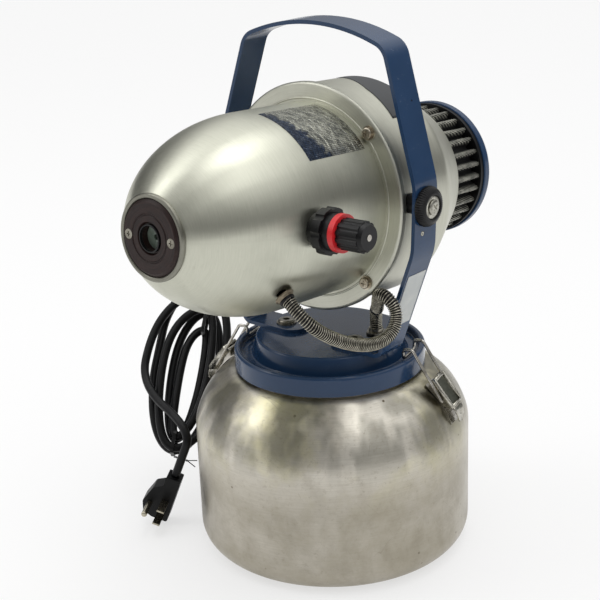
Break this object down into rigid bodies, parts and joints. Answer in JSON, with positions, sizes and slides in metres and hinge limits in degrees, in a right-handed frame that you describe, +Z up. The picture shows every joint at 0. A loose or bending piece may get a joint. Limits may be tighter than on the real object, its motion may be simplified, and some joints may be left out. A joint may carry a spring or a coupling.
{
  "type": "fog machine",
  "caption": "Electric cold fogger: a blower head with flow valve and intake filter tilts in a steel yoke on the latched lid of a round liquid tank.",
  "frame": {"origin": "centre of the tank's flat base", "axes": "+Z up through the tank, -Y toward the nose of the head, +X toward the flow valve and hose"},
  "size_m": [0.3095, 0.3381, 0.419],
  "materials": {
    "tank_steel": "brushed, smudged",
    "blue_paint": "gloss enamel",
    "plated_steel": "bright zinc",
    "black_rubber": "matt",
    "brass_fitting": "turned",
    "clear_plastic": "milky tube",
    "spun_aluminium": "satin, spun",
    "dark_plastic": "moulded",
    "pale_plastic": "moulded",
    "motor_iron": "bare",
    "cast_fan": "cast",
    "filter_paper": "pleated paper",
    "red_plastic": "moulded",
    "foil": "plain foil",
    "sheath_steel": "drawn wire"
  },
  "bodies": {
    "base": {"tank_shell": "tank_steel", "lid": "blue_paint", "lid_gasket": "black_rubber", "yoke_strap": "blue_paint", "strap_bolts": "plated_steel", "strap_nuts": "plated_steel", "hose_lid_fitting": "brass_fitting", "dip_tube": "clear_plastic", "dip_strainer": "brass_fitting", "latch_bases": "plated_steel", "latch_pins": "plated_steel", "hose_tube": "black_rubber", "hose_spring": "sheath_steel", "cord_lead": "black_rubber", "cord_hank": "black_rubber", "hank_ties": "black_rubber", "plug_body": "black_rubber", "plug_blades": "brass_fitting", "plug_ground_pin": "brass_fitting"},
    "head": {"nose_bell": "spun_aluminium", "nose_lip_ring": "spun_aluminium", "nose_disc": "dark_plastic", "nose_screws": "plated_steel", "nozzle_ring": "plated_steel", "nozzle_core": "pale_plastic", "feed_tube": "clear_plastic", "flange_ring": "spun_aluminium", "flange_screws": "plated_steel", "motor_housing": "spun_aluminium", "pivot_bushes": "dark_plastic", "pivot_knobs": "dark_plastic", "pivot_screws": "plated_steel", "pivot_nuts": "plated_steel", "motor_stator": "motor_iron", "motor_mount": "motor_iron", "motor_bearings": "plated_steel", "filter_rings": "black_rubber", "filter_element": "filter_paper", "filter_cap": "blue_paint", "filter_bracket": "plated_steel", "filter_rod": "plated_steel", "filter_nut": "plated_steel", "valve_nut": "dark_plastic", "valve_collar": "red_plastic", "hose_ferrule": "plated_steel", "cord_gland": "dark_plastic", "switch_body": "dark_plastic", "foil_plate": "foil"},
    "rotor": {"motor_shaft": "plated_steel", "armature": "motor_iron", "front_fan": "cast_fan", "rear_fan": "cast_fan"},
    "valve": {"valve_knob": "dark_plastic", "valve_stem": "brass_fitting", "knob_screw": "plated_steel"},
    "switch": {"switch_lever": "plated_steel"},
    "lever_right": {"latch_lever_right": "plated_steel"},
    "lever_left": {"latch_lever_left": "plated_steel"},
    "bail_right": {"latch_bail_right": "plated_steel"},
    "bail_left": {"latch_bail_left": "plated_steel"}
  },
  "joints": [
    {"name": "head_tilt", "type": "hinge", "parent": "base", "child": "head", "pos_m": [0, -0.004, 0.293], "axis": [1, 0, 0], "range_deg": [-25, 25], "deforming": ["hose_tube", "hose_spring", "cord_lead"]},
    {"name": "rotor_spin", "type": "hinge", "parent": "head", "child": "rotor", "pos_m": [0, 0.03081, 0.28451], "axis": [0, 0.9982, -0.0597], "continuous": true},
    {"name": "valve_turn", "type": "hinge", "parent": "head", "child": "valve", "pos_m": [0.09997, -0.09282, 0.29452], "axis": [0.9997, 0.0016, 0.0261], "range_deg": [0, 270]},
    {"name": "switch_toggle", "type": "hinge", "parent": "head", "child": "switch", "pos_m": [-0.06251, 0.01909, 0.22259], "axis": [-0.7071, 0.0422, 0.7058], "range_deg": [0, 24]},
    {"name": "latch_right_lever", "type": "hinge", "parent": "base", "child": "lever_right", "pos_m": [0.08758, 0.022, 0.1472], "axis": [0.2436, -0.9699, 0], "range_deg": [0, 120]},
    {"name": "latch_right_bail", "type": "hinge", "parent": "lever_right", "child": "bail_right", "pos_m": [0.0965, 0.02424, 0.1335], "axis": [0.2436, -0.9699, 0], "range_deg": [-165, 5]},
    {"name": "latch_left_lever", "type": "hinge", "parent": "base", "child": "lever_left", "pos_m": [-0.08758, -0.022, 0.1472], "axis": [-0.2436, 0.9699, 0], "range_deg": [0, 120]},
    {"name": "latch_left_bail", "type": "hinge", "parent": "lever_left", "child": "bail_left", "pos_m": [-0.0965, -0.02424, 0.1335], "axis": [-0.2436, 0.9699, 0], "range_deg": [-165, 5]}
  ],
  "couplings": [
    {"joint": "latch_right_bail", "follows": "latch_right_lever", "ratio": -1.35},
    {"joint": "latch_left_bail", "follows": "latch_left_lever", "ratio": -1.35}
  ]
}
